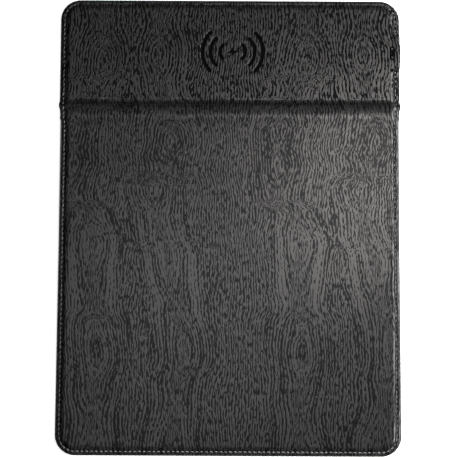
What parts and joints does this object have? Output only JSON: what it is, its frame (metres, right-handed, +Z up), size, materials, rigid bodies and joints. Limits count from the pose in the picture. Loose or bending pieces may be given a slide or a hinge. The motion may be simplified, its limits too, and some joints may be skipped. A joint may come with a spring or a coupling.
{
  "type": "wireless charging desk mat",
  "caption": "Foldable desk mat in wood-grain synthetic leather whose far panel charges a phone and lifts into a stand on a hinged flap.",
  "frame": {"origin": "on the resting plane, under the middle of the mat's outline", "axes": "+X to the user's right (the edge with the USB-C socket), +Y away from the user towards the charger panel, +Z up"},
  "size_m": [0.236, 0.315, 0.007],
  "materials": {
    "cover_leather": "embossed wood-grain synthetic leather, black, semi-matte",
    "lining_leather": "smooth black synthetic leather lining",
    "underside_skin": "black non-slip underside sheet, matte",
    "seam_thread": "dark grey polyester sewing thread",
    "foam": "soft grey sponge foam",
    "board": "stiff fibre board",
    "housing": "black moulded housing",
    "screw_steel": "zinc plated",
    "keeper_steel": "plain",
    "ferrite": "dark grey ferrite sheet under film",
    "copper": "enamelled litz wire",
    "lead_insulation": "red insulated lead",
    "sensor": "epoxy bead",
    "circuit": "green solder mask",
    "chip": "moulded package",
    "capacitor": "tan ceramic",
    "inductor": "grey ferrite body",
    "led": "white package",
    "smoked_pipe": "smoked light guide",
    "socket_metal": "stamped nickel-plated shell",
    "tongue": "black moulded tongue",
    "bezel": "black moulded bezel",
    "magnet": "nickel-plated",
    "foot_rubber": "soft black rubber"
  },
  "bodies": {
    "mat": {"mat_top_leather": "cover_leather", "mat_foam_pad": "foam", "mat_stiffener_board": "board", "fold_strip_foam": "foam", "mat_base_skin": "underside_skin", "crease_roll": "cover_leather", "mat_seam_thread": "seam_thread"},
    "charger_panel": {"panel_top_leather": "cover_leather", "panel_edge_foam": "foam", "panel_base_skin": "underside_skin", "panel_seam_thread": "seam_thread", "charger_upper_shell": "housing", "charger_lower_shell": "housing", "shell_screws": "screw_steel", "keeper_plates": "keeper_steel", "ferrite_sheet": "ferrite", "transmit_coil": "copper", "coil_leads": "lead_insulation", "coil_thermistor": "sensor", "circuit_board": "circuit", "control_chip": "chip", "power_transistors": "chip", "resonant_capacitors": "capacitor", "power_inductor": "inductor", "indicator_led": "led", "light_pipe": "smoked_pipe", "usb_c_shell": "socket_metal", "usb_c_tongue": "tongue", "port_bezel": "bezel", "flap_hinge_strip": "lining_leather"},
    "stand_flap": {"flap_board": "board", "flap_inner_skin": "lining_leather", "flap_outer_skin": "cover_leather", "flap_magnets": "magnet", "flap_foot_strips": "foot_rubber"}
  },
  "joints": [
    {"name": "panel_fold", "type": "hinge", "parent": "mat", "child": "charger_panel", "pos_m": [0, 0.0841, 0.0008], "axis": [1, 0, 0], "range_deg": [0, 85]},
    {"name": "flap_swing", "type": "hinge", "parent": "charger_panel", "child": "stand_flap", "pos_m": [0, 0.148, 0.0021], "axis": [1, 0, 0], "range_deg": [0, 50]}
  ]
}
